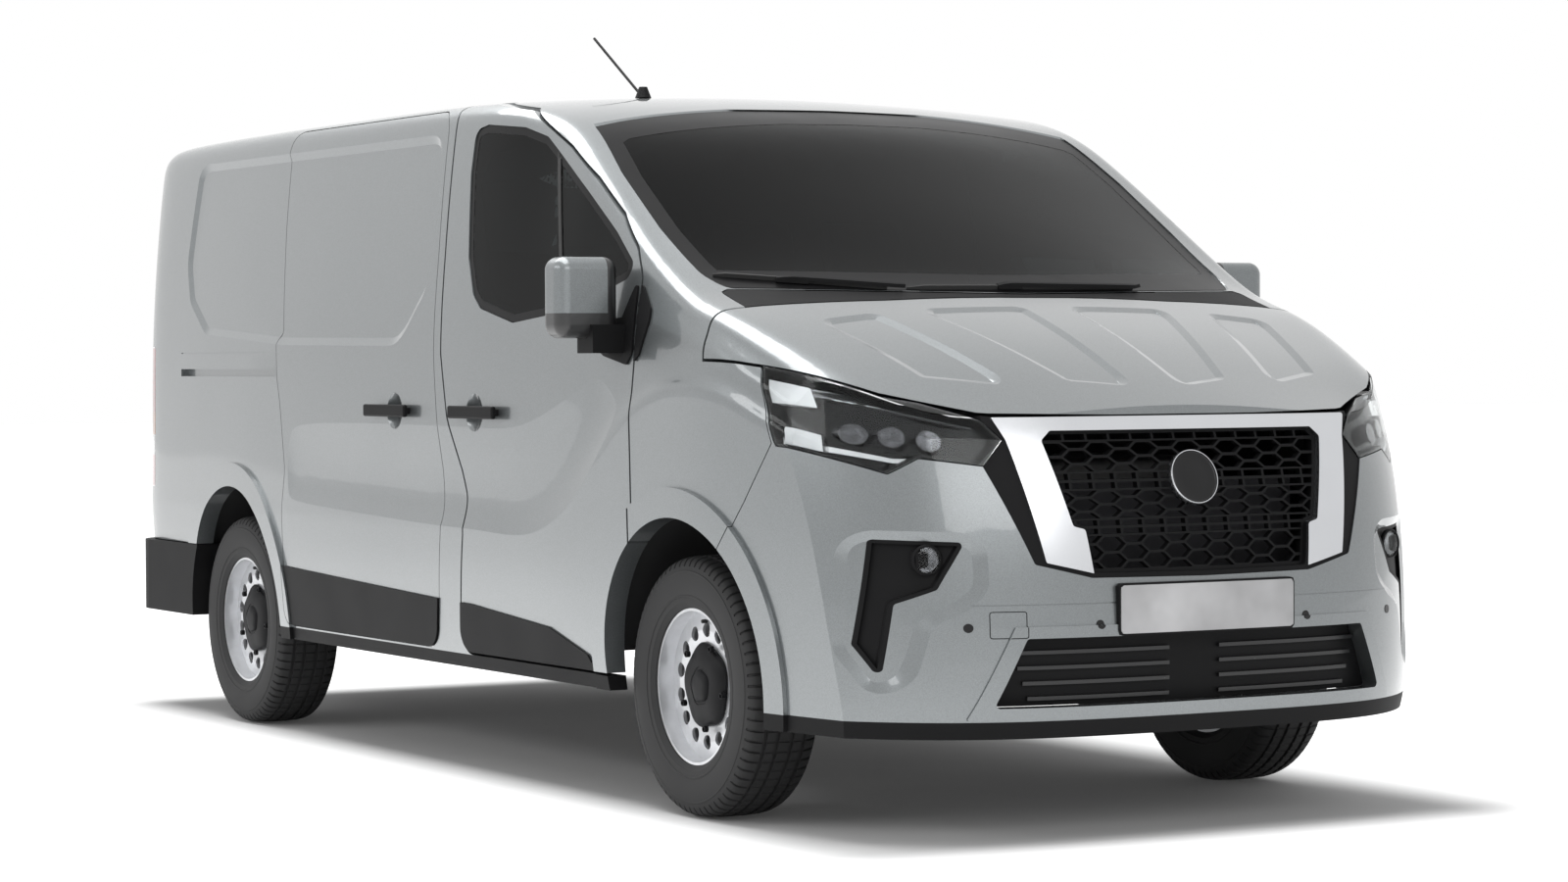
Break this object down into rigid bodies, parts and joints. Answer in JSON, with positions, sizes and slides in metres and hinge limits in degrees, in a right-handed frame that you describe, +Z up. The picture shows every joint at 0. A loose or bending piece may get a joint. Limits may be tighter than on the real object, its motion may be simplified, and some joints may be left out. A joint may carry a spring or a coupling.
{
  "type": "panel van",
  "caption": "Low-roof panel van with a glazed cab, closed load space, sliding side door, twin rear doors, opening bonnet and steered front wheels",
  "frame": {"origin": "on the ground in the middle of the van's length and width", "axes": "+Z up, the van faces -Y, its right side is -X"},
  "size_m": [2.282, 5.0863, 2.1542],
  "materials": {
    "body_shell": "cool grey-green metallic paint",
    "bonnet": "cool grey-green metallic paint",
    "bulkhead": "grey panel",
    "cowl": "grained black plastic",
    "dashboard": "dark soft plastic",
    "door_glass_left": "tinted glass",
    "door_glass_right": "tinted glass",
    "door_trim_left": "grained black plastic",
    "door_trim_right": "grained black plastic",
    "engine": "cast block",
    "exhaust": "dull steel",
    "fog_lamps": "grained black plastic",
    "front_bumper": "cool grey-green metallic paint",
    "front_door_left": "cool grey-green metallic paint",
    "front_door_right": "cool grey-green metallic paint",
    "front_fenders": "cool grey-green metallic paint",
    "front_lip": "grained black plastic",
    "front_subframe": "dark underbody coating",
    "fuel_tank": "dark underbody coating",
    "grille_frame": "grained black plastic",
    "grille_mesh": "grained black plastic",
    "grille_surround": "satin chrome",
    "headlamp_lenses": "clear lens",
    "headlamps": "black lamp housing",
    "knuckle_left": "dark underbody coating",
    "knuckle_right": "dark underbody coating",
    "light_guides": "frosted light guide",
    "lower_grille": "grained black plastic",
    "mirror_left": "cool grey-green metallic paint",
    "mirror_right": "cool grey-green metallic paint",
    "projectors": "clear projector optics in bright rings",
    "radiator": "finned cooling pack",
    "rear_axle": "dark underbody coating",
    "rear_bumper": "grained black plastic",
    "rear_door_left": "cool grey-green metallic paint",
    "rear_door_right": "cool grey-green metallic paint",
    "rim_front_left": "silver painted steel wheel",
    "rim_front_right": "silver painted steel wheel",
    "rim_rear_left": "silver painted steel wheel",
    "rim_rear_right": "silver painted steel wheel",
    "roof_antenna": "grained black plastic",
    "seats": "dark woven cloth",
    "side_trim_left": "grained black plastic",
    "sills": "grained black plastic",
    "sliding_door": "cool grey-green metallic paint",
    "sliding_door_trim": "grained black plastic",
    "steering_wheel": "dark soft plastic",
    "tail_lamps": "red lens",
    "tyre_front_left": "black rubber",
    "tyre_front_right": "black rubber",
    "tyre_rear_left": "black rubber",
    "tyre_rear_right": "black rubber",
    "underbody": "dark underbody coating",
    "windscreen": "tinted glass"
  },
  "bodies": {
    "van_body": {"body_shell": "body_shell", "bulkhead": "bulkhead", "cowl": "cowl", "dashboard": "dashboard", "engine": "engine", "exhaust": "exhaust", "fog_lamps": "fog_lamps", "front_bumper": "front_bumper", "front_fenders": "front_fenders", "front_lip": "front_lip", "front_subframe": "front_subframe", "fuel_tank": "fuel_tank", "grille_frame": "grille_frame", "grille_mesh": "grille_mesh", "grille_surround": "grille_surround", "headlamp_lenses": "headlamp_lenses", "headlamps": "headlamps", "light_guides": "light_guides", "lower_grille": "lower_grille", "projectors": "projectors", "radiator": "radiator", "rear_axle": "rear_axle", "rear_bumper": "rear_bumper", "roof_antenna": "roof_antenna", "seats": "seats", "side_trim_left": "side_trim_left", "sills": "sills", "sliding_door": "sliding_door", "sliding_door_trim": "sliding_door_trim", "tail_lamps": "tail_lamps", "underbody": "underbody", "windscreen": "windscreen"},
    "front_door_right": {"front_door_right": "front_door_right", "door_glass_right": "door_glass_right", "door_trim_right": "door_trim_right", "mirror_right": "mirror_right"},
    "front_door_left": {"front_door_left": "front_door_left", "door_glass_left": "door_glass_left", "door_trim_left": "door_trim_left", "mirror_left": "mirror_left"},
    "rear_door_right": {"rear_door_right": "rear_door_right"},
    "rear_door_left": {"rear_door_left": "rear_door_left"},
    "bonnet": {"bonnet": "bonnet"},
    "steering_wheel": {"steering_wheel": "steering_wheel"},
    "knuckle_right": {"knuckle_right": "knuckle_right"},
    "knuckle_left": {"knuckle_left": "knuckle_left"},
    "wheel_front_right": {"rim_front_right": "rim_front_right", "tyre_front_right": "tyre_front_right"},
    "wheel_front_left": {"rim_front_left": "rim_front_left", "tyre_front_left": "tyre_front_left"},
    "wheel_rear_right": {"rim_rear_right": "rim_rear_right", "tyre_rear_right": "tyre_rear_right"},
    "wheel_rear_left": {"rim_rear_left": "rim_rear_left", "tyre_rear_left": "tyre_rear_left"}
  },
  "joints": [
    {"name": "front_door_right_hinge", "type": "hinge", "parent": "van_body", "child": "front_door_right", "pos_m": [-0.992, -1.31872, 1], "axis": [0, 0, 1], "range_deg": [0, 70]},
    {"name": "front_door_left_hinge", "type": "hinge", "parent": "van_body", "child": "front_door_left", "pos_m": [0.992, -1.31872, 1], "axis": [0, 0, -1], "range_deg": [0, 70]},
    {"name": "rear_door_right_hinge", "type": "hinge", "parent": "van_body", "child": "rear_door_right", "pos_m": [-0.76773, 2.488, 1.2], "axis": [0, 0, 1], "range_deg": [0, 180]},
    {"name": "rear_door_left_hinge", "type": "hinge", "parent": "van_body", "child": "rear_door_left", "pos_m": [0.76773, 2.488, 1.2], "axis": [0, 0, -1], "range_deg": [0, 180]},
    {"name": "bonnet_hinge", "type": "hinge", "parent": "van_body", "child": "bonnet", "pos_m": [0, -1.672, 1.345], "axis": [-1, 0, 0], "range_deg": [0, 52]},
    {"name": "steer_left", "type": "hinge", "parent": "van_body", "child": "knuckle_left", "pos_m": [0.748, -1.526, 0.232], "axis": [-0.2087, 0, 0.978], "range_deg": [-35, 35]},
    {"name": "steer_right", "type": "hinge", "parent": "van_body", "child": "knuckle_right", "pos_m": [-0.748, -1.526, 0.232], "axis": [0.2087, 0, 0.978], "range_deg": [-35, 35]},
    {"name": "steering_turn", "type": "hinge", "parent": "van_body", "child": "steering_wheel", "pos_m": [0.4, -1.052, 1.19003], "axis": [0, 0.788, 0.6157], "range_deg": [-480, 480]},
    {"name": "wheel_front_right_spin", "type": "hinge", "parent": "knuckle_right", "child": "wheel_front_right", "pos_m": [-0.8075, -1.526, 0.34], "axis": [1, 0, 0], "continuous": true},
    {"name": "wheel_front_left_spin", "type": "hinge", "parent": "knuckle_left", "child": "wheel_front_left", "pos_m": [0.8075, -1.526, 0.34], "axis": [1, 0, 0], "continuous": true},
    {"name": "wheel_rear_right_spin", "type": "hinge", "parent": "van_body", "child": "wheel_rear_right", "pos_m": [-0.814, 1.572, 0.34], "axis": [1, 0, 0], "continuous": true},
    {"name": "wheel_rear_left_spin", "type": "hinge", "parent": "van_body", "child": "wheel_rear_left", "pos_m": [0.814, 1.572, 0.34], "axis": [1, 0, 0], "continuous": true}
  ],
  "couplings": [
    {"joint": "steer_right", "follows": "steer_left", "ratio": 1},
    {"joint": "steering_turn", "follows": "steer_left", "ratio": 13.7}
  ]
}
